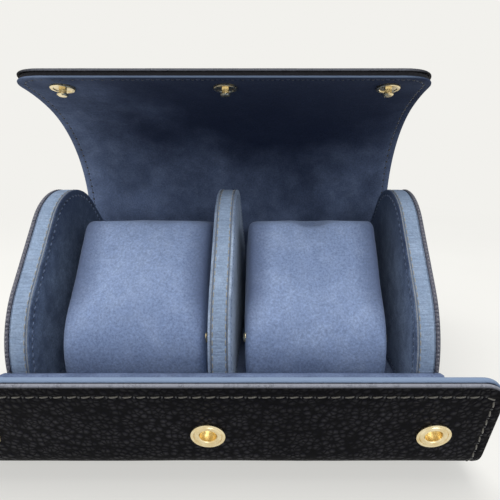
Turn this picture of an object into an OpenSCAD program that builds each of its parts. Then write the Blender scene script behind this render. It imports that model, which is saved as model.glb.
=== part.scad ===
// Travel case for two watches: a folding wrap of leather, board and suede round two
// end caps and a divider, with two lift-out cushions and three snap fasteners.
// X runs across the case, Y from front to back, Z up. The origin is the middle of
// the face that it stands on. The lid stands open and the front flap lies open.

/* [Case] */
// Width over the two end caps
case_w = 190; // [150:1:240]
// Depth of an end cap, front to back
cap_d = 120.6; // [104:0.2:140]
// Height from the table to the top of an end cap
cap_h = 94; // [86:0.5:110]
// Radius at the foot of a cap
foot_r = 16; // [12:0.5:20]
// Height of a cap's straight front and back walls, above the foot
wall_len = 3.3; // [1:0.1:8]
// Radius of a cap's ridge
ridge_r = 31.7; // [26:0.1:34]
// Angle of the two slopes, from the horizontal
slope = 48; // [44:0.5:52]

/* [Wrap panels] */
// Thickness of the pebbled leather
leather_t = 1.3; // [1:0.1:2]
// Thickness of the stiffening board
board_t = 1.7; // [1.4:0.1:2.4]
// Thickness of the suede lining
lining_t = 1.2; // [0.8:0.1:1.8]
// How far the board stays back from the free edges
board_inset = 1; // [0.5:0.1:3]
// Gap at a fold between two panels
fold_gap = 0.3; // [0.2:0.05:0.5]
// Gap between a closed panel and what it folds over
close_gap = 0.35; // [0.3:0.05:0.6]

/* [Caps and divider] */
// Thickness of an end cap
cap_t = 11; // [8:0.5:14]
// Thickness of the leather strip and face outside a cap
cap_leather_t = 2; // [1.2:0.1:3]
// Thickness of a suede face on a cap or the divider
face_t = 1; // [0.6:0.1:1.5]
// Thickness of the suede band round the edge of a cap or the divider
band_t = 1.2; // [0.8:0.1:2]
// Thickness of the divider
divider_t = 10; // [7:0.5:14]
// Place of the divider's middle
divider_x = -1.5; // [-3:0.5:3]

/* [Lid] */
// Straight stretch above the lid's hinge
lid_straight = 13; // [8:0.5:18]
// Length of the lid's curve up to its second fold
lid_curve = 73; // [60:1:80]
// Length of the part of that curve on the hinged panel
lid_back_curve = 29; // [20:1:36]
// Radius of the curve
lid_curve_r = 65; // [55:1:80]
// Length of the flatter panel that carries the studs
lid_front_len = 38.5; // [34:0.5:46]
// Radius of that panel
lid_front_r = 115; // [90:5:200]
// Height of the lid's hinge up the rear slope, from the shoulder
hinge_up = 6.2; // [4:0.1:12]
// Radius of the lid's two free corners
lid_corner_r = 16; // [6:0.5:20]

/* [Front flap] */
// Angle of the open flap where it leaves the case, below the horizontal
flap_drop = 53; // [46:1:56]
// Angle of the first fold of the open flap
flap_fold_1 = 43; // [36:1:46]
// Angle of the second fold of the open flap
flap_fold_2 = 42; // [36:1:46]
// How far the closed flap reaches over the ridge
flap_reach = 4; // [0:0.5:5]
// Radius of the flap's two free corners
flap_corner_r = 8; // [6:0.5:18]

/* [Snaps] */
// Distance between two snaps
snap_pitch = 75.5; // [60:0.5:80]
// Distance of the studs from the lid's free edge
stud_setback = 14.3; // [11:0.1:18]
// Distance of the sockets from the flap's free edge
socket_setback = 24.1; // [22:0.1:28]
// Diameter of a stud's flange
flange_d = 11; // [9:0.1:12.5]
// Height of a stud above the lining
stud_h = 4.1; // [3.6:0.1:4.4]
// Diameter of a stud's head
head_d = 5; // [4:0.1:6]
// Diameter of a stud's neck
neck_d = 3.4; // [2.6:0.1:3.8]
// Outer diameter of a socket
socket_d = 9.6; // [8.8:0.1:11]
// Radial clearance between a stud's head and a socket
snap_clear = 0.45; // [0.35:0.05:0.8]

/* [Cushions] */
// Gap between a cushion and its end cap
cushion_cap_gap = 9.7; // [4:0.1:14]
// Gap between a cushion and the divider, on the divider's nearer side
cushion_divider_gap = 3.2; // [2.5:0.1:8]
// Gap between a cushion and the front and back walls
cushion_wall_gap = 8; // [5:0.5:14]
// Gap between a cushion and the slopes
cushion_slope_gap = 11; // [8:0.5:16]
// Depth of a cushion's top below the top of an end cap
cushion_drop = 15.5; // [12:0.5:20]
// Radius at a cushion's foot
cushion_foot_r = 14; // [8:0.5:18]
// Height of a cushion's straight front and back sides, above its foot
cushion_wall = 2.8; // [1:0.1:8]
// Thickness of a cushion's suede cover
cover_t = 1.2; // [0.8:0.1:2]
// Thickness of a cushion's end panel
end_t = 3; // [2:0.5:5]
// Gap under a seated cushion
seat_gap = 0.3; // [0.2:0.05:0.5]
// Distance of a rivet from the front of its cushion
rivet_back = 9; // [6:0.5:14]
// Height of a rivet above the cushion's foot
rivet_up = 12; // [4:0.5:20]
// Diameter of the rivets in the cushion's ends
rivet_d = 5; // [3:0.5:8]
// Height of a rivet's head
rivet_h = 1.6; // [1:0.1:2.5]

/* [Hidden] */
$fn = 48;

arc_step = 3;       // largest angle between two points of an arc
reach = 90;         // longer than any one panel
eps = 0.01;

navy_leather = "#1c1b28";
edge_grey = "#8d8c92";
suede_dark = "#2f3a55";
suede_band = "#7f95b4";
suede_blue = "#4f5e85";
brass = "#d9b45c";

panel_t = leather_t + board_t + lining_t;
half_w = case_w / 2;
half_d = cap_d / 2;

// Lengths of the cap's outline, which stands on the wrap's base
slope_n = sin(slope) * half_d;
ridge_z = cap_h - ridge_r;
vertex_z = (cos(slope) * ridge_z + ridge_r - slope_n) / cos(slope);
foot_top = panel_t + foot_r;
shoulder_cut = vertex_z - foot_top - wall_len;
shoulder_r = shoulder_cut / tan((90 - slope) / 2);
shoulder_len = arc_len(shoulder_r, 90 - slope);
slope_len = (half_d - ridge_r * sin(slope)) / cos(slope) - shoulder_cut;

function arc_len(r, turn) = abs(turn) * PI / 180 * r;
function right(a) = [sin(a), -cos(a)];
function ahead(a) = [cos(a), sin(a)];
function reversed(list) = [for (i = [len(list) - 1:-1:0]) list[i]];

// A track is a run of straights and arcs. Each step is [length, turn in degrees],
// and a turn to the left is positive. Offsets lie to the right of the track.
function step_r(step) = step[0] / (step[1] * PI / 180);
function step_end(p, a, step) = step[1] == 0
    ? p + step[0] * ahead(a)
    : p + step_r(step) * (right(a + step[1]) - right(a));
function step_points(p, a, step, off) = step[1] == 0
    ? [p + off * right(a)]
    : let (n = ceil(abs(step[1]) / arc_step), r = step_r(step))
        [for (i = [0:n - 1]) let (b = a + step[1] * i / n) p + r * (right(b) - right(a)) + off * right(b)];
function track(p, a, steps, off, i = 0) = i == len(steps)
    ? [p + off * right(a)]
    : concat(
        step_points(p, a, steps[i], off),
        track(step_end(p, a, steps[i]), a + steps[i][1], steps, off, i + 1));
function track_end(p, a, steps, i = 0) = i == len(steps)
    ? [p, a]
    : track_end(step_end(p, a, steps[i]), a + steps[i][1], steps, i + 1);
function ribbon(p, a, steps, from, to) =
    concat(track(p, a, steps, from), reversed(track(p, a, steps, to)));

// Outline of a cap, from the top of the front foot, down and round by the back
foot_start = [-half_d, foot_top];
wrap_steps = [
    [arc_len(foot_r, 90), 90],
    [cap_d - 2 * foot_r, 0],
    [arc_len(foot_r, 90), 90],
    [wall_len, 0],
    [shoulder_len, 90 - slope],
    [hinge_up, 0],
];
cap_steps = concat(
    [for (i = [0:4]) wrap_steps[i]],
    [[slope_len, 0], [arc_len(ridge_r, 2 * slope), 2 * slope], [slope_len, 0],
     [shoulder_len, 90 - slope], [wall_len, 0]]);
function cap_outline(out) = track(foot_start, -90, cap_steps, out);

// Lid: the inner face runs up from the hinge. The hinge's axis is on the outer side.
wrap_end = track_end(foot_start, -90, wrap_steps);
lid_axis = wrap_end[0] + (panel_t + close_gap) * right(wrap_end[1]);
lid_start = lid_axis - [panel_t, 0];
lid_back_steps = [[lid_straight, 0], arc_step_of(lid_back_curve, lid_curve_r)];
lid_mid_steps = [arc_step_of(lid_curve - lid_back_curve, lid_curve_r)];
lid_front_steps = [arc_step_of(lid_front_len, lid_front_r)];
lid_fold_1 = track_end(lid_start, 90, lid_back_steps);
lid_fold_2 = track_end(lid_fold_1[0], lid_fold_1[1], lid_mid_steps);
lid_edge = track_end(lid_fold_2[0], lid_fold_2[1], lid_front_steps);
stud_at = track_end(lid_fold_2[0], lid_fold_2[1], [arc_step_of(lid_front_len - stud_setback, lid_front_r)]);
function arc_step_of(length, r) = [length, length / r * 180 / PI];

// Flap: the outer face runs out from the hinge at the front foot
flap_axis = foot_start - [panel_t + close_gap, 0];
flap_r = shoulder_r + panel_t + close_gap;
flap_turn = (90 - slope) / 2;
flap_lower_steps = [[wall_len, 0], [arc_len(flap_r, flap_turn), -flap_turn]];
flap_middle_steps = [[arc_len(flap_r, flap_turn), -flap_turn]];
flap_upper_steps = [[slope_len + flap_reach, 0]];
flap_fold_at_1 = track_end(flap_axis, 180 + flap_drop, flap_lower_steps);
flap_middle_a = flap_fold_at_1[1] - flap_fold_1;
flap_fold_at_2 = track_end(flap_fold_at_1[0], flap_middle_a, flap_middle_steps);
flap_upper_a = flap_fold_at_2[1] - flap_fold_2;
flap_edge = track_end(flap_fold_at_2[0], flap_upper_a, flap_upper_steps);
socket_at = flap_edge[0] - socket_setback * ahead(flap_upper_a);

// Snap parts
flange_t = 0.8;
rim_t = 0.3;
rim_w = 1.7;          // width of the raised rim round a flange
head_t = 1.5;
head_round = 0.7;
washer_d = 8.4;
washer_bore = 1.5;
washer_t = 0.5;
washer_sag = 0.15;    // room under a flat washer on the curved leather
flange_sink = 0.1;    // depth a stud's flat flange is pressed into the curved lining
socket_wall = 0.6;
socket_roll = 0.3;    // rounding of a socket's rim
socket_washer_w = 1;  // width of the ring outside a socket
socket_proud = 0.65;
socket_deep = 2.8;
socket_floor = 0.4;
spring_wire = 0.5;
snap_x = [for (i = [-1:1]) i * snap_pitch];

// Cushion outline, seated on the base lining
cushion_w = half_w - cap_t - cushion_cap_gap - divider_t / 2 - abs(divider_x) - cushion_divider_gap;
cushion_x = half_w - cap_t - cushion_cap_gap - cushion_w / 2;
cushion_top = cap_h - cushion_drop;
cushion_half_d = half_d - cushion_wall_gap;
cushion_base = panel_t + seat_gap;
cushion_n = cos(slope) * ridge_z + ridge_r - cushion_slope_gap;
cushion_ridge_r = (cushion_n - cos(slope) * cushion_top) / (1 - cos(slope));
cushion_vertex_z = (cushion_n - sin(slope) * cushion_half_d) / cos(slope);
cushion_cut = cushion_vertex_z - cushion_wall - cushion_base - cushion_foot_r;
cushion_shoulder_r = cushion_cut / tan((90 - slope) / 2);
cushion_slope = (cushion_half_d - cushion_ridge_r * sin(slope)) / cos(slope) - cushion_cut;
cushion_start = [-cushion_half_d, cushion_base + cushion_foot_r];
cushion_steps = [
    [arc_len(cushion_foot_r, 90), 90],
    [2 * (cushion_half_d - cushion_foot_r), 0],
    [arc_len(cushion_foot_r, 90), 90],
    [cushion_wall, 0],
    [arc_len(cushion_shoulder_r, 90 - slope), 90 - slope],
    [cushion_slope, 0],
    [arc_len(cushion_ridge_r, 2 * slope), 2 * slope],
    [cushion_slope, 0],
    [arc_len(cushion_shoulder_r, 90 - slope), 90 - slope],
    [cushion_wall, 0],
];
function cushion_outline(inset) = track(cushion_start, -90, cushion_steps, -inset);
rivet_at = [-cushion_half_d + rivet_back, cushion_base + cushion_foot_r + rivet_up];

// Turns a drawing in the Y-Z plane into a solid from x0 to x1
module across(x0, x1)
    translate([x0, 0, 0])
        rotate([90, 0, 90])
            linear_extrude(x1 - x0)
                children();

// Puts a child that is drawn along +Z at a point of the Y-Z plane, pointing along angle a
module at_yz(x, p, a)
    translate([x, p[0], p[1]])
        rotate([a - 90, 0, 0])
            children();

module half_plane(p, a, side)
    translate(p)
        rotate(a)
            translate([side > 0 ? fold_gap / 2 : -reach - fold_gap / 2, -reach / 2])
                square(reach);

// One layer of the wrap that stays fixed to the caps
module wrap_layer(from, to, inset)
    across(-half_w + inset, half_w - inset)
        polygon(ribbon(foot_start, -90, wrap_steps, from, to));

// One layer of a moving panel, trimmed square or mitred at its two ends.
// start and end are [point, angle of the fold's normal]
module panel_layer(start, steps, from, to, inset, cut_start, cut_end)
    across(-half_w + inset, half_w - inset)
        intersection() {
            polygon(ribbon(start[0], start[1], steps, from, to));
            if (cut_start) half_plane(cut_start[0], cut_start[1], 1);
            if (cut_end) half_plane(cut_end[0], cut_end[1], -1);
        }

// Plan of a free edge with two corners of radius r, from the edge back
module corner_plan(inset, corner_r) {
    w = case_w - 2 * inset;
    r = corner_r - inset;
    translate([-w / 2 + r, -reach])
        square([w - 2 * r, reach - inset]);
    translate([-w / 2, -reach])
        square([w, reach - inset - r]);
    for (side = [-1, 1])
        translate([side * (w / 2 - r), -inset - r])
            circle(r, $fn = 64);
}

// A panel is drawn this much past its free edge, and the plan trims it
edge_over = [[1, 0]];

// Keeps only what lies inside the rounded plan at a free edge
module round_corners(edge, inset, r)
    intersection() {
        children();
        translate([0, edge[0][0], edge[0][1]])
            rotate([edge[1], 0, 0])
                translate([0, 0, -reach / 2])
                    linear_extrude(reach)
                        corner_plan(inset, r);
    }

module lid_layer(from, to, inset, part) {
    if (part == 0)
        panel_layer([lid_start, 90], lid_back_steps, from, to, inset, undef, lid_fold_1);
    if (part == 1)
        panel_layer(lid_fold_1, lid_mid_steps, from, to, inset, lid_fold_1, lid_fold_2);
    if (part == 2)
        round_corners(lid_edge, inset, lid_corner_r)
            panel_layer(lid_fold_2, concat(lid_front_steps, edge_over), from, to, inset, lid_fold_2, undef);
}

mitre_1 = [flap_fold_at_1[0], flap_fold_at_1[1] - flap_fold_1 / 2];
mitre_2 = [flap_fold_at_2[0], flap_fold_at_2[1] - flap_fold_2 / 2];

module flap_layer(from, to, inset, part) {
    if (part == 0)
        panel_layer([flap_axis, 180 + flap_drop], flap_lower_steps, from, to, inset, undef, mitre_1);
    if (part == 1)
        panel_layer([flap_fold_at_1[0], flap_middle_a], flap_middle_steps, from, to, inset, mitre_1, mitre_2);
    if (part == 2)
        round_corners(flap_edge, inset, flap_corner_r)
            panel_layer([flap_fold_at_2[0], flap_upper_a], concat(flap_upper_steps, edge_over),
                from, to, inset, mitre_2, undef);
}

// The lid's inner face is offset 0 and the flap's outer face is offset 0
lid_lining = [0, lining_t];
lid_board = [lining_t, lining_t + board_t];
lid_leather = [lining_t + board_t, panel_t];
flap_leather = [0, leather_t];
flap_board = [leather_t, leather_t + board_t];
flap_lining = [leather_t + board_t, panel_t];

module snap_places(at, a)
    for (x = snap_x)
        at_yz(x, at, a)
            children();

// Stud: flange with a raised rim, neck, mushroom head, and a shank into the board
module stud() {
    shank = lining_t + board_t - washer_t - washer_sag;
    rotate_extrude()
        polygon([
            [0, -shank], [neck_d / 2, -shank],
            [neck_d / 2, -flange_sink], [flange_d / 2, -flange_sink],
            [flange_d / 2, flange_t], [flange_d / 2 - rim_t, flange_t + rim_t],
            [flange_d / 2 - rim_w + rim_t, flange_t + rim_t], [flange_d / 2 - rim_w, flange_t],
            [neck_d / 2, flange_t], [neck_d / 2, stud_h - head_t],
            [head_d / 2, stud_h - 0.65 * head_t], [head_d / 2, stud_h - 0.4 * head_t],
            [head_d / 2 - head_round, stud_h], [0, stud_h],
        ]);
}

module washer(d, bore)
    difference() {
        cylinder(d = d, h = washer_t);
        translate([0, 0, -eps])
            cylinder(d = bore, h = washer_t + 2 * eps);
    }

// Socket: a cup let into the flap, with a rolled rim over the leather
module socket() {
    mouth = head_d / 2 + snap_clear;
    cup = mouth + socket_wall;
    rotate_extrude()
        polygon([
            [0, -socket_deep], [cup, -socket_deep], [cup, 0], [socket_d / 2, 0],
            [socket_d / 2, socket_proud - socket_roll], [socket_d / 2 - socket_roll, socket_proud],
            [mouth + socket_roll, socket_proud], [mouth, socket_proud - socket_roll],
            [mouth, -socket_deep + socket_floor], [0, -socket_deep + socket_floor],
        ]);
}
socket_cup_d = head_d + 2 * (snap_clear + socket_wall);

// Spring: an open wire ring that lies against the cup's wall, round the stud's neck
module spring()
    translate([0, 0, -socket_deep + socket_floor])
        rotate_extrude(angle = 300)
            translate([head_d / 2 + snap_clear - spring_wire / 2, spring_wire / 2])
                square(spring_wire - 2 * eps, center = true);

module lid_holes(d)
    snap_places(stud_at[0], stud_at[1] + 90)
        translate([0, 0, -panel_t])
            cylinder(d = d, h = panel_t + eps);

module flap_holes(d, deep)
    snap_places(socket_at, flap_upper_a + 90)
        translate([0, 0, -deep])
            cylinder(d = d, h = deep + 1);

// Case body
module wrap_leather() color(navy_leather) wrap_layer(lining_t + board_t, panel_t, 0);
module wrap_board() color(edge_grey) wrap_layer(lining_t, lining_t + board_t, board_inset);
module wrap_lining() color(suede_dark) wrap_layer(0, lining_t, 0);

// side is -1 for the left cap and 1 for the right one
module cap_slice(side, x0, x1)
    across(side > 0 ? half_w - x1 : -half_w + x0, side > 0 ? half_w - x0 : -half_w + x1)
        children();
module cap_leather(side)
    color(navy_leather) cap_slice(side, 0, cap_leather_t) polygon(cap_outline(0));
module cap_core(side)
    color(edge_grey) cap_slice(side, cap_leather_t, cap_t - face_t) polygon(cap_outline(-band_t));
module cap_band(side)
    color(suede_band) cap_slice(side, cap_leather_t, cap_t - face_t)
        polygon_ring();
module cap_face(side)
    color(suede_dark) cap_slice(side, cap_t - face_t, cap_t) polygon(cap_outline(0));
module polygon_ring()
    difference() {
        polygon(cap_outline(0));
        polygon(cap_outline(-band_t));
    }

module divider_slice(x0, x1)
    across(divider_x - divider_t / 2 + x0, divider_x - divider_t / 2 + x1)
        children();
module divider_core() color(edge_grey) divider_slice(face_t, divider_t - face_t) polygon(cap_outline(-band_t));
module divider_band() color(suede_band) divider_slice(face_t, divider_t - face_t) polygon_ring();
module divider_face(far)
    color(suede_dark) divider_slice(far ? divider_t - face_t : 0, far ? divider_t : face_t)
        polygon(cap_outline(0));

// Lid
module lid_leather_part(part) color(navy_leather) lid_layer(lid_leather[0], lid_leather[1], 0, part);
module lid_board_part(part)
    color(edge_grey)
        difference() {
            lid_layer(lid_board[0], lid_board[1], board_inset, part);
            if (part == 2) {
                lid_holes(neck_d);
                snap_places(stud_at[0], stud_at[1] + 90)
                    translate([0, 0, -lining_t - board_t - eps])
                        cylinder(d = washer_d, h = washer_t + washer_sag + eps);
            }
        }
module lid_lining_part(part)
    color(suede_dark)
        difference() {
            lid_layer(lid_lining[0], lid_lining[1], 0, part);
            if (part == 2) {
                lid_holes(neck_d);
                snap_places(stud_at[0], stud_at[1] + 90)
                    translate([0, 0, -flange_sink])
                        cylinder(d = flange_d, h = 1);
            }
        }
module snap_studs() color(brass) snap_places(stud_at[0], stud_at[1] + 90) stud();
module snap_stud_washers()
    color(brass) snap_places(stud_at[0], stud_at[1] + 90)
        translate([0, 0, -lining_t - board_t + washer_sag])
            washer(washer_d, washer_bore);

// Flap
module flap_leather_part(part)
    color(navy_leather)
        difference() {
            flap_layer(flap_leather[0], flap_leather[1], 0, part);
            if (part == 2) flap_holes(socket_cup_d, leather_t + eps);
        }
module flap_board_part(part)
    color(edge_grey)
        difference() {
            flap_layer(flap_board[0], flap_board[1], board_inset, part);
            if (part == 2) {
                flap_holes(socket_cup_d, socket_deep);
            }
        }
module flap_lining_part(part) color(suede_dark) flap_layer(flap_lining[0], flap_lining[1], 0, part);
module snap_sockets() color(brass) snap_places(socket_at, flap_upper_a + 90) socket();
module snap_springs() color(brass) snap_places(socket_at, flap_upper_a + 90) spring();
module snap_socket_washers()
    color(brass) snap_places(socket_at, flap_upper_a + 90)
        washer(socket_d + 2 * socket_washer_w, socket_d);

// Cushions, side is -1 for the left one and 1 for the right one
module cushion_slice(side, x0, x1)
    across(side * cushion_x - cushion_w / 2 + x0, side * cushion_x - cushion_w / 2 + x1)
        children();
module cushion_foam(side)
    color("#b9bcc6") cushion_slice(side, end_t, cushion_w - end_t) polygon(cushion_outline(cover_t));
module cushion_sleeve(side)
    color(suede_blue) cushion_slice(side, end_t, cushion_w - end_t)
        difference() {
            polygon(cushion_outline(0));
            polygon(cushion_outline(cover_t));
        }
// An end panel is softly rounded towards its outer face
module cushion_ends(side)
    color(suede_blue)
        for (far = [0, 1])
            hull() {
                cushion_slice(side, far * (cushion_w - end_t), far * (cushion_w - end_t) + end_t)
                    polygon(cushion_outline(end_t));
                cushion_slice(side, far ? cushion_w - end_t : end_t * 0.4, far ? cushion_w - end_t * 0.4 : end_t)
                    polygon(cushion_outline(end_t * 0.25));
                cushion_slice(side, far ? cushion_w - end_t : end_t - eps, far ? cushion_w - end_t + eps : end_t)
                    polygon(cushion_outline(0));
            }
module cushion_rivets(side)
    color(brass)
        for (far = [-1, 1])
            translate([side * cushion_x + far * cushion_w / 2, rivet_at[0], rivet_at[1]])
                rotate([0, far * 90, 0])
                    rotate_extrude()
                        polygon([
                            [0, 0], [rivet_d / 2, 0], [rivet_d / 2, 0.3 * rivet_h],
                            [rivet_d / 2 * 0.8, 0.8 * rivet_h], [rivet_d / 2 * 0.4, rivet_h], [0, rivet_h],
                        ]);

wrap_leather();
wrap_board();
wrap_lining();
cap_core(-1);  // cap_core_left
cap_band(-1);  // cap_band_left
cap_face(-1);  // cap_face_left
cap_leather(-1);  // cap_leather_left
cap_core(1);  // cap_core_right
cap_band(1);  // cap_band_right
cap_face(1);  // cap_face_right
cap_leather(1);  // cap_leather_right
divider_core();
divider_band();
divider_face(false);  // divider_face_left
divider_face(true);  // divider_face_right
lid_leather_part(0);  // lid_back_leather
lid_board_part(0);  // lid_back_board
lid_lining_part(0);  // lid_back_lining
lid_leather_part(1);  // lid_mid_leather
lid_board_part(1);  // lid_mid_board
lid_lining_part(1);  // lid_mid_lining
lid_leather_part(2);  // lid_front_leather
lid_board_part(2);  // lid_front_board
lid_lining_part(2);  // lid_front_lining
snap_studs();
snap_stud_washers();
flap_leather_part(0);  // flap_lower_leather
flap_board_part(0);  // flap_lower_board
flap_lining_part(0);  // flap_lower_lining
flap_leather_part(1);  // flap_middle_leather
flap_board_part(1);  // flap_middle_board
flap_lining_part(1);  // flap_middle_lining
flap_leather_part(2);  // flap_upper_leather
flap_board_part(2);  // flap_upper_board
flap_lining_part(2);  // flap_upper_lining
snap_sockets();
snap_springs();
snap_socket_washers();
cushion_foam(-1);  // cushion_foam_left
cushion_sleeve(-1);  // cushion_sleeve_left
cushion_ends(-1);  // cushion_ends_left
cushion_rivets(-1);  // cushion_rivets_left
cushion_foam(1);  // cushion_foam_right
cushion_sleeve(1);  // cushion_sleeve_right
cushion_ends(1);  // cushion_ends_right
cushion_rivets(1);  // cushion_rivets_right
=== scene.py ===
# Travel case for two watches. A folding wrap of pebbled leather, millboard and suede
# stands round two end caps and a divider, with two lift-out cushions and three snaps.
# Lengths are millimetres until they reach a mesh. X runs across the case, Y to the back.
import math

import bpy
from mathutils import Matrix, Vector, kdtree, noise


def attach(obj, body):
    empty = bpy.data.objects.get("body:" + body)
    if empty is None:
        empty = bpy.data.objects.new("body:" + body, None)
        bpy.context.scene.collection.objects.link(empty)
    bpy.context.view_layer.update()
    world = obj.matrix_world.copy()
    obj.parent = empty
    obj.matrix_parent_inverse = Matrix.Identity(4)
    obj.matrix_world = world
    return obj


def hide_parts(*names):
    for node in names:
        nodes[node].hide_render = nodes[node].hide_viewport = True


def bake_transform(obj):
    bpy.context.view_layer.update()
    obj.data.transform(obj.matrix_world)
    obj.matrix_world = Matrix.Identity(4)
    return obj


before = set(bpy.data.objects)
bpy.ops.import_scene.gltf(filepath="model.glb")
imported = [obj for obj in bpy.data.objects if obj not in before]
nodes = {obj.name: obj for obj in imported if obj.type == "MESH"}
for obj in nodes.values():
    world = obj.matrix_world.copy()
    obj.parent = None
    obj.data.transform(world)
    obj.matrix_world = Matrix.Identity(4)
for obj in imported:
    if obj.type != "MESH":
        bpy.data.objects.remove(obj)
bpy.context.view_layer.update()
MM = 0.001

# ---------------------------------------------------------------- sizes of the case
case_w, cap_d, cap_h = 190, 120.6, 94
foot_r, wall_len, ridge_r, slope = 16, 3.3, 31.7, 48
leather_t, board_t, lining_t = 1.3, 1.7, 1.2
panel_t = leather_t + board_t + lining_t
close_gap = 0.35
cap_t, cap_leather_t, face_t, band_t = 11, 2, 1, 1.2
divider_t, divider_x = 10, -1.5
lid_straight, lid_curve, lid_back_curve, lid_curve_r = 13, 73, 29, 65
lid_front_len, lid_front_r, hinge_up, lid_corner_r = 38.5, 115, 6.2, 16
flap_drop, flap_fold_1, flap_fold_2, flap_reach, flap_corner_r = 53, 43, 42, 4, 8
snap_pitch, socket_setback, socket_cup_r = 75.5, 24.1, 3.55
cushion_cap_gap, cushion_divider_gap, cushion_drop = 9.7, 3.2, 15.5
cushion_wall_gap, cushion_slope_gap, cushion_foot_r, cushion_wall = 8, 11, 14, 2.8

half_w, half_d = case_w / 2, cap_d / 2
path_gap, path_turn = 0.75, 6    # along the wrap's profile: millimetres and degrees to a point
uv_span = 400                    # millimetres to one unit of the map that grain and nap follow
well_inside = 30.0               # stands for any distance where an edge no longer shows
stitch_setback = 3.5             # stitch line, in from a free edge
flap_stitch_setback = 5.2        # the same at the flap's free end
face_stitch_setback = 3.1        # the same on the caps' and the divider's faces
stitch_pitch = 4.4               # on the wrap
cap_stitch_pitch = 3.5           # on the caps and the divider
rim_stitch_pitch = 1.9           # over the rim of a cap's leather
band_seam = 0.62                 # pressed seam of a band, in from its side


# ---------------------------------------------------------------- profiles in Y and Z
def right(a):
    """The direction to the right of heading a, in degrees from the Y axis."""
    return Vector((math.sin(math.radians(a)), -math.cos(math.radians(a))))


def ahead(a):
    """The direction of heading a."""
    return Vector((math.cos(math.radians(a)), math.sin(math.radians(a))))


def arc(r, turn):
    """One step of a run: an arc of radius r. A turn to the left is positive."""
    return (abs(math.radians(turn)) * r, turn)


def run(p, a, steps, off=0.0, gap=path_gap):
    """Points along straights and arcs, off to the right of them, with where it ends."""
    p, points = Vector(p), []
    for length, turn in steps:
        n = max(1, math.ceil(length / gap), math.ceil(abs(turn) / path_turn))
        for i in range(n):
            b = a + turn * i / n
            if turn:
                r = length / math.radians(turn)
                points.append(p + r * (right(b) - right(a)) + off * right(b))
            else:
                points.append(p + length * i / n * ahead(a) + off * right(a))
        if turn:
            p = p + length / math.radians(turn) * (right(a + turn) - right(a))
        else:
            p = p + length * ahead(a)
        a += turn
    points.append(p + off * right(a))
    return points, p, a


foot_top = panel_t + foot_r
cs, sn = math.cos(math.radians(slope)), math.sin(math.radians(slope))
# height at which a cap's wall and slope would meet, if no curve joined them
vertex_z = (cs * (cap_h - ridge_r) + ridge_r - sn * half_d) / cs
shoulder_cut = vertex_z - foot_top - wall_len
shoulder_r = shoulder_cut / math.tan(math.radians((90 - slope) / 2))
slope_len = (half_d - ridge_r * sn) / cs - shoulder_cut
foot_start = Vector((-half_d, foot_top))
shoulder = arc(shoulder_r, 90 - slope)
wrap_steps = [arc(foot_r, 90), (cap_d - 2 * foot_r, 0), arc(foot_r, 90), (wall_len, 0),
              shoulder, (hinge_up, 0)]
cap_steps = wrap_steps[:5] + [(slope_len, 0), arc(ridge_r, 2 * slope), (slope_len, 0),
                              shoulder, (wall_len, 0)]


def softened(before, after, cut, n):
    """Joins two runs that meet in a kink: cut millimetres go from each and a curve of n
    steps fills in."""
    def trimmed(points):
        left = cut
        points = list(points)
        while (points[-1] - points[-2]).length < left:
            left -= (points[-1] - points[-2]).length
            points.pop()
        d = (points[-1] - points[-2]).normalized()
        points[-1] = points[-1] - d * left
        return points, d
    a, da = trimmed(before)
    b, db = trimmed(after[::-1])
    theta = da.angle(-db)
    k = 4 / 3 * math.tan(theta / 4) / math.tan(theta / 2) * cut
    p = [a[-1], a[-1] + da * k, b[-1] + db * k, b[-1]]
    curve = []
    for i in range(1, n):
        t = i / n
        curve.append((1 - t) ** 3 * p[0] + 3 * t * (1 - t) ** 2 * p[1]
                     + 3 * t * t * (1 - t) * p[2] + t ** 3 * p[3])
    return a + curve + b[::-1]


# The wrap's outer face, from the flap's free edge, under the case, to the lid's free edge.
# The inside of the case is on its left.
wrap_end, wrap_end_a = run(foot_start, -90, wrap_steps)[1:]
lid_axis = wrap_end + (panel_t + close_gap) * right(wrap_end_a)
flap_axis = foot_start - Vector((panel_t + close_gap, 0))
flap_arc = arc(shoulder_r + panel_t + close_gap, -(90 - slope) / 2)
flap_low, flap_bend_1, a1 = run(flap_axis, 180 + flap_drop, [(wall_len, 0), flap_arc])
flap_mid, flap_bend_2, a2 = run(flap_bend_1, a1 - flap_fold_1, [flap_arc])
flap_top, _, flap_a = run(flap_bend_2, a2 - flap_fold_2, [(slope_len + flap_reach, 0)])
crease = flap_axis + ahead(flap_drop) * (close_gap / math.cos(math.radians(flap_drop)))
wrap_line = run(foot_start, -90, wrap_steps, panel_t)[0]
lid_inner = lid_axis - Vector((panel_t, 0))
lid_steps = [(lid_straight, 0), (lid_curve, math.degrees(lid_curve / lid_curve_r)),
             (lid_front_len, math.degrees(lid_front_len / lid_front_r))]
lid_out = run(lid_inner, 90, lid_steps, panel_t)[0]
lid_back_steps = [lid_steps[0], (lid_back_curve, math.degrees(lid_back_curve / lid_curve_r))]
lid_bend_1, lid_a1 = run(lid_inner, 90, lid_back_steps)[1:]
lid_bend_2, lid_a2 = run(lid_inner, 90, lid_steps[:2])[1:]

fold_cut, crease_cut, hinge_soft = 4.7, 0.9, 1.0     # taken off each side of a kink
outer = softened(flap_top[::-1], flap_mid[::-1], fold_cut, 14)
outer = softened(outer, flap_low[::-1] + [crease], fold_cut, 14)
# The wrap's last stretch ends where the lid's outer face crosses it
cross = lid_axis - Vector((0, close_gap / math.sin(math.radians(wrap_end_a - 90))))
while (wrap_line[-1] - cross).dot(ahead(wrap_end_a)) > -0.05:
    wrap_line.pop()
outer = softened(outer, [crease] + wrap_line + [cross], crease_cut, 18)
outer = softened(outer, [cross] + lid_out[1:], hinge_soft, 8)


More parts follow.
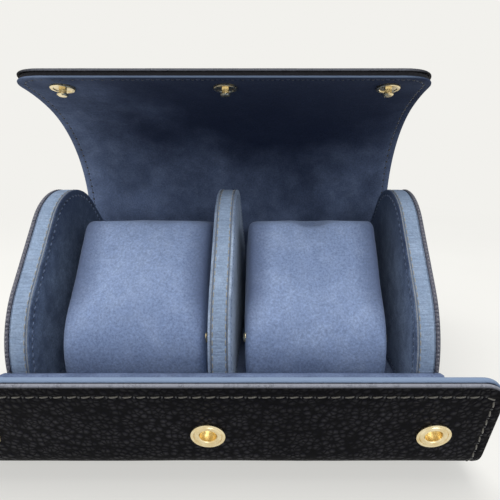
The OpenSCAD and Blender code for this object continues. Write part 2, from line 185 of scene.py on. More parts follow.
class Profile:
    """A polyline with its lengths and smooth normals, read at any length along it."""
    def __init__(self, points):
        self.p = [points[0]]
        for q in points[1:]:
            if (q - self.p[-1]).length > 1e-4:
                self.p.append(q)
        self.s = [0.0]
        for a, b in zip(self.p, self.p[1:]):
            self.s.append(self.s[-1] + (b - a).length)
        self.length = self.s[-1]
        d = [(b - a).normalized() for a, b in zip(self.p, self.p[1:])]
        t = [d[0]] + [(a + b).normalized() for a, b in zip(d, d[1:])] + [d[-1]]
        self.n = [Vector((-v.y, v.x)) for v in t]     # to the left

    def at(self, s):
        """The point and the normal at length s."""
        s = min(max(s, 0.0), self.length)
        lo, hi = 0, len(self.s) - 1
        while hi - lo > 1:
            m = (lo + hi) // 2
            lo, hi = (m, hi) if self.s[m] <= s else (lo, m)
        f = (s - self.s[lo]) / (self.s[hi] - self.s[lo])
        return self.p[lo].lerp(self.p[hi], f), self.n[lo].lerp(self.n[hi], f).normalized()

    def nearest(self, q):
        """Number of the point that is nearest to q."""
        return min(range(len(self.p)), key=lambda i: (self.p[i] - Vector(q)).length)


wrap_profile = Profile(outer)


def reach(q):
    """Length along the wrap's profile of the point nearest to q."""
    return wrap_profile.s[wrap_profile.nearest(q)]


s_flap_2, s_flap_1, s_flap_0 = reach(flap_bend_2), reach(flap_bend_1), reach(flap_axis)
s_lid_0 = reach(lid_axis)
s_lid_1 = reach(lid_bend_1 + panel_t * right(lid_a1))
s_lid_2 = reach(lid_bend_2 + panel_t * right(lid_a2))
s_end = wrap_profile.length
foot_end, hinge_start = s_flap_0 + 9.0, s_lid_0 - 5.2    # ends of the part that never moves
flap_cut_1, flap_cut_2 = (s_flap_1 + s_flap_0) / 2, (s_flap_2 + s_flap_1) / 2
lid_cut_1, lid_cut_2 = (s_lid_0 + s_lid_1) / 2, (s_lid_1 + s_lid_2) / 2
# Lengths of the wrap: name, from, to, the two bodies at its ends, the joint's place, the
# heading of the profile there, and over how many millimetres the outside and the inside of
# the wrap would bend. Only a length with one body is attached to it, and the last three
# columns are not read.
sections = [
    ("flap_upper", 0, flap_cut_2, "flap_upper", "flap_middle",
     flap_bend_2, (flap_a + a2) / 2, (12, 12)),
    ("flap_middle", flap_cut_2, flap_cut_1, "flap_middle", "flap_lower",
     flap_bend_1, a1 - flap_fold_1 / 2, (12, 12)),
    ("flap_lower", flap_cut_1, foot_end, "flap_lower", "case", flap_axis,
     180 + (flap_drop - 90) / 2, (2.28, 10.08)),
    ("wrap", foot_end, hinge_start, "case", None, None, None, None),
    ("lid_back", hinge_start, lid_cut_1, "case", "lid_back", lid_axis,
     (wrap_end_a + 90) / 2, (5, 9)),
    ("lid_mid", lid_cut_1, lid_cut_2, "lid_back", "lid_mid", lid_bend_1, lid_a1, (14, 14)),
    ("lid_front", lid_cut_2, s_end, "lid_mid", "lid_front", lid_bend_2, lid_a2, (12, 12)),
]


# ---------------------------------------------------------------- finishes
def srgb(text):
    """An sRGB hex value as a linear colour."""
    value = [int(text[i:i + 2], 16) / 255 for i in (1, 3, 5)]
    value = [v / 12.92 if v <= 0.04045 else ((v + 0.055) / 1.055) ** 2.4 for v in value]
    return (*value, 1.0)


def add(tree, kind, **given):
    """Adds a node and gives its outputs. A name in small letters is a setting. A name with a
    capital, or _ and a number, is a socket, and takes a value or another node's output."""
    made = tree.nodes.new("ShaderNode" + kind)
    for key, value in given.items():
        if key[0].islower():
            setattr(made, key, value)
            continue
        socket = made.inputs[int(key[1:]) if key[0] == "_" else key.replace("_", " ")]
        if isinstance(value, bpy.types.NodeSocket):
            tree.links.new(value, socket)
        else:
            socket.default_value = value
    return made.outputs


def emptied(owner):
    """The node tree of a material or world, with nothing in it yet."""
    owner.use_nodes = True
    owner.node_tree.nodes.clear()
    return owner.node_tree


def finish(name):
    """A new material and its empty node tree."""
    made = bpy.data.materials.new(name)
    return made, emptied(made)


def suede(name, dark, mid, light, nap_mm, patch_mm, sheen, edge=None, seed=0.0, contrast=1.0,
          drift_share=0.4, speck=0.3, ribs=0.0, painted_shade=None, edge_reach=(0.35, 1.0, 0.9)):
    """Suede, split leather that is buffed to a short nap. Fibres lie in drifts where it was
    brushed, so it is mottled in patches, finely speckled and pale at a glancing angle. A tuft
    is drawn two or three times its real width, or it wouldn't show. ribs draws the nap of a
    narrow strip into fine lines across it, that many millimetres apart. painted_shade paints
    shade into the colour, darkest round a middle: (middle, shares of the distance, where it
    starts, where it ends, how much). edge is the colour it takes near an edge, and edge_reach
    is (full within, gone by, how much), in millimetres from the edge."""
    made, tree = finish(name)
    place = add(tree, "TexCoord")["Object"]
    moved = add(tree, "VectorMath", operation="ADD", _0=place,
                _1=(seed, seed * 0.7, seed * 1.3))[0]
    patch = add(tree, "TexNoise", Vector=moved, Scale=1000 / patch_mm, Detail=3.0,
                Roughness=0.5, Distortion=0.15)[0]
    drift_mm = patch_mm * 0.28
    drift = add(tree, "TexNoise", Vector=moved, Scale=1000 / drift_mm, Detail=3.0,
                Roughness=0.6, Distortion=0.15)[0]
    fibre = add(tree, "TexNoise", Vector=moved, Scale=1000 / nap_mm, Detail=3.0, Roughness=0.7)[0]
    patches = add(tree, "MapRange", Value=patch, From_Min=0.5 - 0.2 / contrast,
                  From_Max=0.5 + 0.2 / contrast)[0]
    # painted shade: the patches darken round a middle, where the suede lies in shade
    if painted_shade:
        middle, shares, begins, ends, most = painted_shade
        stray = add(tree, "MapRange", Value=patch, From_Min=0.3, From_Max=0.7,
                    To_Min=-0.06, To_Max=0.06)[0]
        away = add(tree, "VectorMath", operation="SUBTRACT", _0=place,
                   _1=[v * MM for v in middle])[0]
        away = add(tree, "VectorMath", operation="MULTIPLY", _0=away,
                   _1=[v / MM for v in shares])[0]
        away = add(tree, "VectorMath", operation="LENGTH", _0=away)[1]
        away = add(tree, "Math", operation="ADD", _0=away, _1=stray)[0]
        lit = add(tree, "MapRange", Value=away, From_Min=begins, From_Max=ends,
                  To_Min=1 - most, To_Max=1.0)[0]
        patches = add(tree, "Math", operation="MULTIPLY", _0=patches, _1=lit)[0]
    colour = add(tree, "Mix", data_type="RGBA", _0=patches, _6=srgb(dark), _7=srgb(mid))[2]
    pale = add(tree, "MapRange", Value=drift, From_Min=0.42, From_Max=0.72,
               To_Min=0.0, To_Max=drift_share)[0]
    away_from_dark = add(tree, "MapRange", Value=patches, From_Min=0.0, From_Max=0.5)[0]
    pale = add(tree, "Math", operation="MULTIPLY", _0=pale, _1=away_from_dark)[0]
    colour = add(tree, "Mix", data_type="RGBA", _0=pale, _6=colour, _7=srgb(light))[2]
    speckle = add(tree, "MapRange", Value=fibre, From_Min=0.3, From_Max=0.7,
                  To_Min=1 - speck, To_Max=1 + speck)[0]
    height = add(tree, "Math", operation="MULTIPLY_ADD", _0=drift, _1=1.6, _2=fibre)[0]
    if ribs:
        along = add(tree, "UVMap", uv_map="cut")[0]
        along = add(tree, "VectorMath", operation="MULTIPLY", _0=along,
                    _1=(60.0, uv_span / ribs, 1.0))[0]
        line = add(tree, "TexNoise", Vector=along, Scale=1.0, Detail=2.0, Distortion=0.3)[0]
        lines = add(tree, "MapRange", Value=line, From_Min=0.3, From_Max=0.7,
                    To_Min=0.86, To_Max=1.12)[0]
        speckle = add(tree, "Math", operation="MULTIPLY", _0=speckle, _1=lines)[0]
        height = add(tree, "Math", operation="MULTIPLY_ADD", _0=line, _1=1.5, _2=height)[0]
    grey = add(tree, "CombineColor", Red=speckle, Green=speckle, Blue=speckle)[0]
    colour = add(tree, "Mix", data_type="RGBA", blend_type="MULTIPLY", _0=1.0, _6=colour,
                 _7=grey)[2]
    if edge:
        near = add(tree, "Attribute", attribute_name="edge_mm")["Fac"]
        full, gone, most = edge_reach
        rim = add(tree, "MapRange", Value=near, From_Min=full, From_Max=gone,
                  To_Min=most, To_Max=0.0)[0]
        colour = add(tree, "Mix", data_type="RGBA", _0=rim, _6=colour, _7=srgb(edge))[2]
    raised = add(tree, "Bump", Strength=0.6, Distance=0.22 * MM, Height=height)[0]
    shader = add(tree, "BsdfPrincipled", Base_Color=colour, Roughness=0.95, Normal=raised,
                 Specular_IOR_Level=0.1, Sheen_Weight=sheen, Sheen_Roughness=0.5,
                 Sheen_Tint=srgb(light))[0]
    add(tree, "OutputMaterial", Surface=shader)
    return made


def pebbled_leather(name, crease_shade_colour, base, dome_highlight_colour, cell_mm, edge):
    """Full-grain calf, coloured navy in the drum and milled so that the grain shrinks into
    rounded pebbles, cell_mm apart. Each pebble is smoother on its top and carries a painted
    highlight there, fewer near a free edge, and painted shade darkens the creases. edge is the
    colour of a cut or turned edge, where the pebbles are pressed flat: partly a burnished edge
    and partly a painted highlight where the rolled edge catches the light."""
    made, tree = finish(name)
    place = add(tree, "UVMap", uv_map="cut")[0]
    # from here a length of 1 is one pebble
    place = add(tree, "VectorMath", operation="SCALE", _0=place, Scale=uv_span / cell_mm)[0]
    wander = add(tree, "TexNoise", Vector=place, Scale=0.8, Detail=2.0)[1]
    bent = add(tree, "Mix", data_type="VECTOR", _0=0.2, _4=place, _5=wander)[1]
    crack = add(tree, "TexVoronoi", feature="DISTANCE_TO_EDGE", Vector=bent, Scale=1.0)[0]
    centre = add(tree, "TexVoronoi", feature="SMOOTH_F1", Vector=bent, Scale=1.0,
                 Smoothness=0.3)[0]
    top = add(tree, "MapRange", Value=centre, From_Min=0.7, From_Max=0.05)[0]
    clear = add(tree, "MapRange", Value=crack, From_Min=0.0, From_Max=0.22,
                To_Min=0.2, To_Max=1.0)[0]
    dome = add(tree, "Math", operation="MULTIPLY", _0=top, _1=clear)[0]
    fine = add(tree, "TexNoise", Vector=place, Scale=5.0, Detail=4.0, Roughness=0.6)[0]
    broad = add(tree, "TexNoise", Vector=place, Scale=0.11, Detail=2.0)[0]
    # painted shade: the creases are darker than the pebbles
    out_of_crease_shade = add(tree, "MapRange", Value=crack, From_Min=0.0, From_Max=0.16)[0]
    tone = add(tree, "Mix", data_type="RGBA", _0=out_of_crease_shade, _6=srgb(crease_shade_colour),
               _7=srgb(base))[2]
    highlight_patches = add(tree, "MapRange", Value=broad, From_Min=0.35, From_Max=0.65,
                  To_Min=0.35, To_Max=1.0)[0]
    pores = add(tree, "MapRange", Value=fine, From_Min=0.3, From_Max=0.6,
                To_Min=0.5, To_Max=1.0)[0]
    near = add(tree, "Attribute", attribute_name="edge_mm")["Fac"]
    highlight_inward = add(tree, "MapRange", Value=near, From_Min=4, From_Max=13, To_Min=0.35,
                 To_Max=1.0)[0]
    # painted highlight on each pebble's top, broken up in patches and pores and fewer near a free
    # edge
    worn = dome
    for share in (highlight_patches, pores, highlight_inward):
        worn = add(tree, "Math", operation="MULTIPLY", _0=worn, _1=share)[0]
    tone = add(tree, "Mix", data_type="RGBA", _0=worn, _6=tone, _7=srgb(dome_highlight_colour))[2]
    # the edge colour is partly a burnished edge and partly a painted highlight on the rolled edge
    rim = add(tree, "MapRange", Value=near, From_Min=0.3, From_Max=1.05, To_Min=0.95,
              To_Max=0.0)[0]
    tone = add(tree, "Mix", data_type="RGBA", _0=rim, _6=tone, _7=srgb(edge))[2]
    shine = add(tree, "MapRange", Value=dome, From_Min=0.0, From_Max=0.8, To_Min=0.62,
                To_Max=0.42)[0]
    height = add(tree, "Math", operation="MULTIPLY_ADD", _0=fine, _1=0.10, _2=dome)[0]
    raised = add(tree, "Bump", Strength=1.0, Distance=0.65 * MM, Height=height)[0]
    shader = add(tree, "BsdfPrincipled", Base_Color=tone, Roughness=shine, Normal=raised,
                 Specular_IOR_Level=0.055)[0]
    add(tree, "OutputMaterial", Surface=shader)
    return made


def millboard(name):
    """Grey-black pressed millboard. It shows only as a matt dark line between the skins."""
    made, tree = finish(name)
    place = add(tree, "TexCoord")["Object"]
    pulp = add(tree, "TexNoise", Vector=place, Scale=1000 / 0.7, Detail=4.0)[0]
    share = add(tree, "MapRange", Value=pulp, From_Min=0.3, From_Max=0.7)[0]
    colour = add(tree, "Mix", data_type="RGBA", _0=share, _6=srgb("#0d0d12"),
                 _7=srgb("#1d1d24"))[2]
    raised = add(tree, "Bump", Strength=0.4, Distance=0.1 * MM, Height=pulp)[0]
    shader = add(tree, "BsdfPrincipled", Base_Color=colour, Roughness=0.95, Normal=raised)[0]
    add(tree, "OutputMaterial", Surface=shader)
    return made


def thread(name, dark, light):
    """Bonded polyester thread, twisted from three plies, with a soft shine along it."""
    made, tree = finish(name)
    place = add(tree, "TexCoord")["Object"]
    ply = add(tree, "TexNoise", Vector=place, Scale=1000 / 0.5, Detail=2.0)[0]
    share = add(tree, "MapRange", Value=ply, From_Min=0.3, From_Max=0.7)[0]
    colour = add(tree, "Mix", data_type="RGBA", _0=share, _6=srgb(dark), _7=srgb(light))[2]
    raised = add(tree, "Bump", Strength=0.6, Distance=0.1 * MM, Height=ply)[0]
    shader = add(tree, "BsdfPrincipled", Base_Color=colour, Roughness=0.6, Normal=raised,
                 Sheen_Weight=0.3, Sheen_Roughness=0.5)[0]
    add(tree, "OutputMaterial", Surface=shader)
    return made


def plated_brass(name, tint, worn):
    """Turned brass under a thin gold plate, polished, with a faint haze where it has dulled."""
    made, tree = finish(name)
    place = add(tree, "TexCoord")["Object"]
    haze = add(tree, "TexNoise", Vector=place, Scale=1000 / 2.5, Detail=4.0)[0]
    share = add(tree, "MapRange", Value=haze, From_Min=0.35, From_Max=0.7)[0]
    colour = add(tree, "Mix", data_type="RGBA", _0=share, _6=srgb(tint), _7=srgb(worn))[2]
    dull = add(tree, "MapRange", Value=haze, From_Min=0.3, From_Max=0.7, To_Min=0.18,
               To_Max=0.36)[0]
    raised = add(tree, "Bump", Strength=0.08, Distance=0.1 * MM, Height=haze)[0]
    shader = add(tree, "BsdfPrincipled", Base_Color=colour, Metallic=1.0, Roughness=dull,
                 Normal=raised)[0]
    add(tree, "OutputMaterial", Surface=shader)
    return made


leather = pebbled_leather("pebbled_calf", "#010103", "#05050c", "#313036", cell_mm=1.6,
                          edge="#80828b")
cap_leather = pebbled_leather("pebbled_calf_cap", "#030305", "#0a0a11", "#323136", cell_mm=1.6,
                              edge="#5c5d68")
board = millboard("pressed_millboard")
# Painted shade darkens the lid's lining round its middle, and the faces and the divider near the
# ridge
lining = suede("suede_lining_navy", "#111a30", "#7d8eb1", "#8a99b7",
               nap_mm=0.9, patch_mm=30, sheen=0.12, edge="#75859c",
               contrast=0.42, drift_share=0.25, speck=0.24,
               painted_shade=((24, 0, 140), (1 / 135, 0, 1 / 60), 0.38, 1.25, 0.96))
face_suede = suede("suede_face_navy", "#29344e", "#66768f", "#7f90aa",
                   nap_mm=1.0, patch_mm=14, sheen=0.7, seed=3.1, contrast=0.8, speck=0.34,
                   painted_shade=((0, 0, 94), (0, 0, 1 / 34), 0.2, 1.3, 0.85))
# painted light: the divider's faces are painted paler than the caps' faces, to stand for light that
# the close cushions keep from them, with painted shade near the ridge
divider_suede_painted_light = suede("suede_divider_painted_light", "#55657e", "#aebfd6", "#bccbdf",
                      nap_mm=1.0, patch_mm=16, sheen=0.5, seed=6.4, contrast=0.7, speck=0.25,
                      painted_shade=((0, 0, 100), (0, 0, 1 / 42), 0.2, 1.0, 0.75))
# Its edge colour is painted shade in the narrow pressed seam beside each side of a band
band_suede = suede("suede_band_steel_blue", "#798aa2", "#8ea0b8", "#9fadc2",
                   nap_mm=0.9, patch_mm=22, sheen=0.25, edge="#4a5160", seed=5.7,
                   contrast=0.6, drift_share=0.3, speck=0.2, ribs=0.9,
                   edge_reach=(0.0, 0.42, 0.58))
# Its edge colour is painted shade, darker towards a cushion's ends, where the sleeve turns away
# from the light
cushion_suede = suede("suede_cushion_blue", "#7182a3", "#899abb", "#a8b7d1",
                      nap_mm=1.0, patch_mm=26, sheen=0.35, edge="#4a5570", seed=9.3,
                      contrast=0.6, drift_share=0.22, speck=0.28,
                      edge_reach=(1.5, 13.0, 0.85))
piping = suede("turned_edge_grey", "#6f757e", "#858b94", "#9aa0a7",
               nap_mm=0.5, patch_mm=9, sheen=0.2, seed=2.2, contrast=0.6)
thread_grey = thread("thread_grey_beige", "#74736e", "#9c998f")
thread_tan = thread("thread_tan_grey", "#403d37", "#5d594f")
thread_blue = thread("thread_steel_blue", "#4a5a75", "#7486a4")
thread_navy = thread("thread_navy", "#2c3549", "#465169")
thread_rim = thread("thread_rim_grey", "#4a4a52", "#7c7c84")
needle_hole_shade = thread("needle_hole_shade", "#040508", "#090b10")     # painted shade: dark capsules stand for the shade inside each needle hole
brass = plated_brass("gold_plated_brass", "#f7e8c0", "#e4cd98")


# ---------------------------------------------------------------- meshes
def settled(piece):
    """The piece's mesh as its modifiers leave it."""
    bpy.context.view_layer.update()
    graph = bpy.context.evaluated_depsgraph_get()
    return bpy.data.meshes.new_from_object(piece.evaluated_get(graph))


def new_piece(name, points, faces, material, uvs=None, edge=None, sharp=None):
    """A mesh from millimetres, smooth, with its finish."""
    mesh = bpy.data.meshes.new(name)
    mesh.from_pydata([tuple(c * MM for c in p) for p in points], [], faces)
    mesh.validate()
    mesh.update()
    mesh.polygons.foreach_set("use_smooth", [True] * len(mesh.polygons))
    if uvs:
        layer = mesh.uv_layers.new(name="cut")
        for loop in mesh.loops:
            layer.data[loop.index].uv = uvs[loop.vertex_index]
    if edge:
        attribute = mesh.attributes.new("edge_mm", "FLOAT", "POINT")
        attribute.data.foreach_set("value", edge)
    if sharp:
        marks = mesh.attributes.new("sharp_edge", "BOOLEAN", "EDGE")
        for e in mesh.edges:
            marks.data[e.index].value = e.vertices[0] in sharp and e.vertices[1] in sharp
    mesh.materials.append(material)
    piece = bpy.data.objects.new(name, mesh)
    bpy.context.scene.collection.objects.link(piece)
    return piece


def shell(rings, n, first=0):
    """Faces of a closed shell: rings of n points joined one after another, and its two ends."""
    faces = []
    for j in range(rings - 1):
        a, b = first + j * n, first + (j + 1) * n
        faces += [[a + i, a + (i + 1) % n, b + (i + 1) % n, b + i] for i in range(n)]
    start = [first + i for i in range(n)]
    return faces + [start[::-1], [i + (rings - 1) * n for i in start]]


# Rows and columns of points, in from an edge of the wrap: close together where its edge
# is rolled and where the stitches pull it down
edge_steps = [0, 0.06, 0.2, 0.4, 0.65, 0.9, 1.2, 1.7, 2.4, 2.9, 3.25, 3.5, 3.75, 4.1, 4.7, 5.2, 5.7,
              6.5, 8, 10.5, 13, 16]
middle_columns = 52
row_gap, crease_gap = 1.6, 0.25                      # between other rows, and at the crease
clear_gap = 0.8                                      # least between them and the close rows
turned_in = 0.8                                      # how much of the edge is folded down
free_ends = ((0.0, -1, flap_corner_r), (s_end, 1, lid_corner_r))     # place, way out, corner


def cross_columns():
    """Places across the wrap, from its left edge to its right edge."""
    inner = half_w - edge_steps[-1]
    middle = [-inner + 2 * inner * i / middle_columns for i in range(1, middle_columns)]
    return [-half_w + d for d in edge_steps] + middle + [half_w - d for d in reversed(edge_steps)]


def rounded_plan(x, s):
    """Moves a point of the square-cornered plan to the plan with round corners. The third
    value is 1 at a side of the wrap and 0 at its free end, and turns over in the corner."""
    for at, way, r in free_ends:
        b = ((s - at) * way + r) / r
        a = (abs(x) - (half_w - r)) / r
        if a > 0 and b > 0:
            rho = max(a, b)
            angle = math.pi / 4 * (b / a if a >= b else 2 - a / b)
            x = math.copysign(half_w - r + r * rho * math.cos(angle), x)
            return x, at + way * (r * rho * math.sin(angle) - r), 1 - angle / (math.pi / 2)
    from_end = min(s, s_end - s)
    return x, s, 1.0 if half_w - abs(x) < from_end else 0.0


def waviness(x, s, seed):
    """Slight unevenness of glued leather, in millimetres."""
    broad = noise.noise(Vector((x / 31, s / 27, seed)))
    return 0.16 * broad + 0.05 * noise.noise(Vector((x / 9, s / 8, seed + 5)))


def stitch_dip(past):
    """The surface is pulled down along the stitch line and stays full outside it. past is
    how far in from the line a point is."""
    return 0.2 * math.exp(-(past / 0.55) ** 2) - 0.07 * math.exp(-((past + 1.6) / 0.8) ** 2)


def skin_point(x, s, off):
    """A point of the wrap, off above its outer face towards the inside of the case."""
    p, n = wrap_profile.at(s)
    return (x, p.x + n.x * off, p.y + n.y * off)


def rounding(d, half_t):
    """How far a sheet has reached its thickness, d in from a rolled edge."""
    return math.sqrt(max(0.0, 1 - (1 - min(d / half_t, 1)) ** 2))


def wrap_skin(name, s0, s1, low, high, show_high, material, seed, turned=0.0):
    """One length of leather or lining, between two lengths of the profile. Its outer edges
    are rolled. turned is how far the lining is folded down over the board at the flap's end."""
    free_start, free_end = s0 <= 0, s1 >= s_end
    n = max(2, round((s1 - s0) / row_gap))
    steps = [s0 + (s1 - s0) * i / n for i in range(n + 1)]
    steps += [s_flap_0 + k * crease_gap for k in range(-10, 11)
              if s0 < s_flap_0 + k * crease_gap < s1]
    if free_start:
        steps = edge_steps + [s for s in steps if s > edge_steps[-1] + clear_gap]
    if free_end:
        steps = [s for s in steps if s < s_end - edge_steps[-1] - clear_gap]
        steps += [s_end - d for d in edge_steps]
    steps = sorted(set(round(s, 4) for s in steps))
    columns = cross_columns()
    rows, w = len(steps), len(columns)
    points, uvs, edge = [], [], []
    for upper in (0, 1):
        for s in steps:
            for x in columns:
                px, ps, side_share = rounded_plan(x, s)
                d = half_w - abs(x)
                past = d - stitch_setback
                if free_start:
                    d, past = min(d, s), min(past, s - flap_stitch_setback)
                if free_end:
                    d, past = min(d, s_end - s), min(past, s_end - s - stitch_setback)
                fold = turned * (1 - side_share) if free_start else 0.0
                bottom = low - (fold if upper or d < turned_in else 0.0)
                mid, half_t = (bottom + high) / 2, (high - bottom) / 2
                round_off = rounding(d, half_t)
                lift = half_t * round_off
                if upper == show_high and d > 0:
                    bulge = waviness(px, ps, seed) * min(1, d / 2) - stitch_dip(past)
                    lift += bulge * round_off
                points.append(skin_point(px, ps, mid + lift if upper else mid - lift))
                uvs.append((px / uv_span + 0.5, ps / uv_span))
                # the pale edge colours, on the leather partly burnished and partly a painted
                # highlight on the rolled edge, are pushed in at the sides and on the lid, where
                # less of them shows
                pale_edge_shift = 0.75 * side_share + (0.6 if s > s_lid_0 else 0.0)
                edge.append(min(d + pale_edge_shift, well_inside))

    # the upper and the lower face share the points of the rolled edges
    shared = set()
    for r in range(rows):
        for c in range(w):
            if c in (0, w - 1) or (free_start and r == 0) or (free_end and r == rows - 1):
                shared.add(r * w + c)
    kept = [i for i in range(len(points)) if i - rows * w not in shared]
    new = {old: k for k, old in enumerate(kept)}

    def at(upper, r, c):
        i = r * w + c
        return new[i + rows * w if upper and i not in shared else i]

    faces = []
    for r in range(rows - 1):
        for c in range(w - 1):
            faces.append([at(1, r, c), at(1, r, c + 1), at(1, r + 1, c + 1), at(1, r + 1, c)])
            faces.append([at(0, r, c), at(0, r + 1, c), at(0, r + 1, c + 1), at(0, r, c + 1)])
    sharp = set()
    for r, closed in ((0, not free_start), (rows - 1, not free_end)):
        for c in range(w - 1 if closed else 0):
            ring = [at(0, r, c), at(0, r, c + 1), at(1, r, c + 1), at(1, r, c)]
            ring = list(dict.fromkeys(ring))
            faces.append(ring if r == 0 else ring[::-1])
            sharp.update(ring)
    points, uvs, edge = ([values[i] for i in kept] for values in (points, uvs, edge))
    return new_piece(name, points, faces, material, uvs, edge, sharp)


def stitches(name, places, material, long, thick, lean=0.0, shift=0.0, sink=0.0):
    """A row of stitches: each is a short length of thread that dives in at both ends. With a
    dark finish and a shift of half a pitch, the same row paints the shade inside the needle
    holes between.
    long, thick, shift and sink are millimetres, and lean is radians, about the way up."""
    points, faces = [], []
    rings, sides = 7, 8
    for centre, along, up in places:
        t, u = Vector(along).normalized(), Vector(up)
        u = (u - t * u.dot(t)).normalized()
        v = t.cross(u)
        if lean:
            t, v = (t * math.cos(lean) + v * math.sin(lean),
                    v * math.cos(lean) - t * math.sin(lean))
        c = Vector(centre) + t * shift - u * sink
        faces += shell(rings, sides, len(points))
        for i in range(rings):
            f = i / (rings - 1) * 2 - 1
            r = thick * math.sqrt(max(0.02, 1 - abs(f) ** 3.2))
            drop = thick * 1.5 * abs(f) ** 3
            for k in range(sides):
                a = 2 * math.pi * k / sides
                points.append(tuple(c + t * (f * long / 2) + u * (r * math.sin(a) * 0.85 - drop)
                                    + v * (r * math.cos(a))))
    return new_piece(name, points, faces, material)


# ---------------------------------------------------------------- the wrap
def stitch_line(s0, s1):
    """Stitches of one length of the wrap, as (x, s) with their direction: a row along each
    side, and at a free end a row that turns the two corners."""
    marks = []
    start = flap_corner_r if s0 <= 0 else s0
    end = s_end - lid_corner_r if s1 >= s_end else s1
    first, last = math.ceil(start / stitch_pitch), math.floor((end - 1e-6) / stitch_pitch)
    for k in range(first, last + 1):
        for way in (-1, 1):
            marks.append(((way * (half_w - stitch_setback), k * stitch_pitch), (0, 1)))
    for (at, out, corner), setback in zip(free_ends, (flap_stitch_setback, stitch_setback)):
        if not (s0 <= at <= s1):
            continue
        r, r_end = corner - stitch_setback, corner - setback
        n = max(1, round(math.pi / 2 * (r + r_end) / 2 / stitch_pitch))
        for way in (-1, 1):
            for k in range(n):
                a = math.pi / 2 * (k + 0.5) / n
                place = (way * (half_w - corner + r * math.cos(a)),
                         at + out * (r_end * math.sin(a) - corner))
                marks.append((place, (-way * r * math.sin(a), out * r_end * math.cos(a))))
        span = 2 * (half_w - corner)
        n = round(span / stitch_pitch)
        marks += [((-span / 2 + span * (k + 0.5) / n, at - out * setback), (1, 0))
                  for k in range(n)]
    return marks


def laid_on_wrap(marks, off, outward):
    """Turns flat marks into places on the wrap: centre, direction and the way up."""
    laid = []
    level = off - outward * 0.08          # a stitch sinks in by this much
    for (x, s), (dx, ds) in marks:
        step = 0.5 / math.hypot(dx, ds)
        here = Vector(skin_point(x, s, level))
        there = Vector(skin_point(x + dx * step, s + ds * step, level))
        n = wrap_profile.at(s)[1]
        laid.append((here, there - here, (0, outward * n.x, outward * n.y)))
    return laid


def bored(piece, places, radius):
    """Cuts round holes through a skin. places are (point, direction), in millimetres."""
    points, faces = [], []
    sides, deep = 48, 3
    for at, way in places:
        t = Vector(way).normalized()
        u = t.orthogonal().normalized()
        v = t.cross(u)
        faces += shell(2, sides, len(points))
        for h in (-deep, deep):
            for k in range(sides):
                a = 2 * math.pi * k / sides
                around = radius * (u * math.cos(a) + v * math.sin(a))
                points.append((Vector(at) + t * h + around) * MM)
    mesh = bpy.data.meshes.new("punch")
    mesh.from_pydata(points, [], faces)
    punch = bpy.data.objects.new("punch", mesh)
    bpy.context.scene.collection.objects.link(punch)
    cutter = piece.modifiers.new("punch", "BOOLEAN")
    cutter.operation, cutter.solver, cutter.object = "DIFFERENCE", "EXACT", punch
    piece.data = settled(piece)
    piece.modifiers.remove(cutter)
    bpy.data.objects.remove(punch)


half_pitch = stitch_pitch / 2
for name, s0, s1, first, second, joint_at, heading, bends in sections:
    leather_skin = wrap_skin(name + "_leather_skin", s0, s1, 0, leather_t, False,
                             leather, seed=1.3)
    lining_skin = wrap_skin(name + "_lining_skin", s0, s1, leather_t + board_t, panel_t, True,
                            lining, seed=7.9, turned=1.5)
    if name == "flap_upper":
        p, n = wrap_profile.at(socket_setback)
        cups = [((x, p.x, p.y), (0, n.x, n.y)) for x in (-snap_pitch, 0, snap_pitch)]
        bored(leather_skin, cups, socket_cup_r + 0.1)
    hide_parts(name + "_leather")
    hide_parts(name + "_lining")
    marks = stitch_line(s0, s1)
    outside, inside = laid_on_wrap(marks, 0.0, -1), laid_on_wrap(marks, panel_t, 1)
    dressed = [     # piece, and 0 for the outside or 1 for the inside of the wrap
        (leather_skin, 0), (lining_skin, 1),
        (stitches(name + "_leather_stitches", outside, thread_tan,
                  long=3.8, thick=0.3, lean=-0.15), 0),
        (stitches(name + "_leather_holes", outside, needle_hole_shade,
                  long=1.1, thick=0.55, shift=half_pitch, sink=0.3), 0),
        (stitches(name + "_lining_stitches", inside, thread_navy,
                  long=2.5, thick=0.28, lean=0.12, sink=0.12), 1),
        (stitches(name + "_lining_holes", inside, needle_hole_shade,
                  long=2.3, thick=0.75, shift=half_pitch, sink=0.36), 1),
    ]
    for piece, side in dressed:
        if second is None:
            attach(piece, first)
            continue
        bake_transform(piece)


# ---------------------------------------------------------------- end caps and divider
def closed_outline(inset=0.0, gap=1.2):
    """The outline that the caps and the divider share, inset millimetres in from it."""
    return run(foot_start, -90, cap_steps, -inset, gap)[0][:-1]


def outline_normals(points):
    """The directions straight out of a closed outline at its points."""
    out = []
    for i, p in enumerate(points):
        t = (points[(i + 1) % len(points)] - points[i - 1]).normalized()
        out.append(Vector((t.y, -t.x)))
    return out


cap_line = closed_outline()
cap_out = outline_normals(cap_line)
# length along the outline, for the bands' nap
cap_at = [0.0]
for a, b in zip(cap_line, cap_line[1:]):
    cap_at.append(cap_at[-1] + (b - a).length)


def swept_ring(name, section, material, seam=None):
    """Sweeps a closed section, given as (x, outwards), round the cap's outline. seam is how
    far in from its sides the section is sewn down."""
    points, faces, uvs, edge = [], [], [], []
    m, n = len(section), len(cap_line)
    low, high = min(x for x, out in section), max(x for x, out in section)
    for p, o, along in zip(cap_line, cap_out, cap_at):
        for x, out in section:
            points.append((x, p.x + o.x * out, p.y + o.y * out))
            uvs.append((x / uv_span + 0.5, along / uv_span))
            edge.append(abs(min(x - low, high - x) - seam) if seam else well_inside)
    for i in range(n):
        a, b = i * m, (i + 1) % n * m
        faces += [[a + k, a + (k + 1) % m, b + (k + 1) % m, b + k] for k in range(m)]
    return new_piece(name, points, faces, material, uvs, edge)


